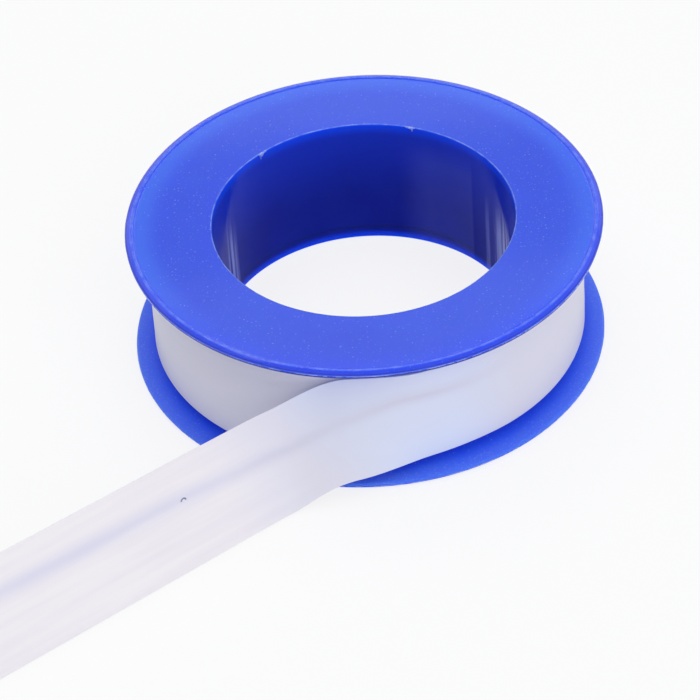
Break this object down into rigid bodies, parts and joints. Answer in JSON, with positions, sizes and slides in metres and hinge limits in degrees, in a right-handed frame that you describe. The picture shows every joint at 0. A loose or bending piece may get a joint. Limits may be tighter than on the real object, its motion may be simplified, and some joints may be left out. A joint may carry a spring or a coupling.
{
  "type": "thread seal tape roll",
  "caption": "Roll of thin white thread seal film wound on a blue flanged plastic spool with an open bore, its free end pulled off to one side and resting on edge.",
  "frame": {"origin": "centre of the bore, midway between the two flanges", "axes": "+Z along the bore axis, up out of the flange that is uppermost when the roll lies flat; the tape leaves the roll on the -Y side, towards -X"},
  "size_m": [0.0738, 0.0801, 0.0164],
  "materials": {
    "spool_plastic": "glossy royal blue moulded plastic, slightly translucent",
    "tape_film": "soft matte white film with a faint lengthwise grain"
  },
  "bodies": {
    "roll": {"spool_base": "spool_plastic", "spool_cap": "spool_plastic", "wound_tape": "tape_film"},
    "turn": {"outer_turn": "tape_film"},
    "tail": {"tape_tail": "tape_film"}
  },
  "joints": [
    {"name": "unwind", "type": "hinge", "parent": "roll", "child": "turn", "pos_m": [0, 0, 0], "axis": [0, 0, 1], "continuous": true},
    {"name": "tail_swing", "type": "hinge", "parent": "turn", "child": "tail", "pos_m": [0.01206, -0.02048, 0], "axis": [0, 0, 1], "range_deg": [0, 40]}
  ]
}
